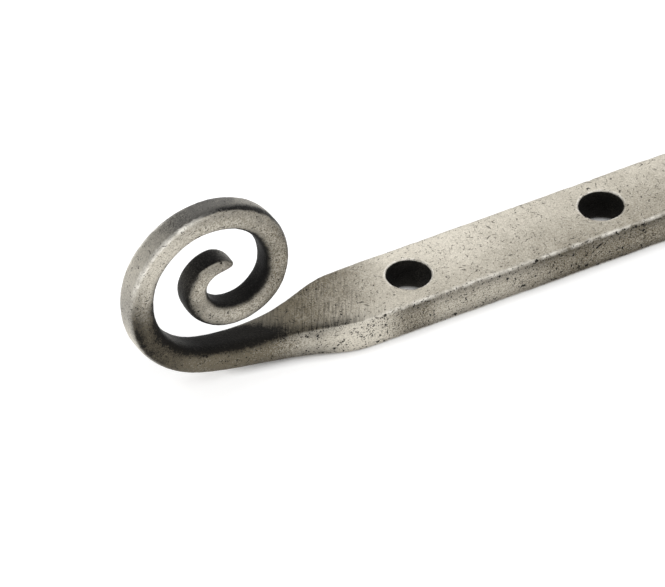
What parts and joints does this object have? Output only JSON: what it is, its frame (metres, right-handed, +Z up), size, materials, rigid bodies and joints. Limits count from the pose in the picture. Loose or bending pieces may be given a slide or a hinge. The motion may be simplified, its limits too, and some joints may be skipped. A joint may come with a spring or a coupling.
{
  "type": "casement stay",
  "caption": "Forged steel casement stay: flat arm with peg holes and a curled monkey tail, on a swivel fork that turns and lifts on a screw-fixed bracket.",
  "frame": {"origin": "centre of the fixing bracket's back face, on the window's inner face", "axes": "+Z up; +Y into the window that the bracket is screwed to; X along the closed arm, with the curled tail towards -X"},
  "size_m": [0.2776, 0.024, 0.0464],
  "materials": {
    "forged_steel": "satin",
    "pivot_steel": "satin"
  },
  "bodies": {
    "bracket": {"fixing_bracket": "forged_steel"},
    "swivel": {"swivel_fork": "forged_steel", "lift_pin": "pivot_steel"},
    "arm": {"stay_arm": "forged_steel"}
  },
  "joints": [
    {"name": "arm_swing", "type": "hinge", "parent": "bracket", "child": "swivel", "pos_m": [0, -0.015, 0], "axis": [0, 0, 1], "range_deg": [0, 180]},
    {"name": "arm_lift", "type": "hinge", "parent": "swivel", "child": "arm", "pos_m": [0, -0.015, 0.0012], "axis": [0, 1, 0], "range_deg": [0, 75]}
  ]
}
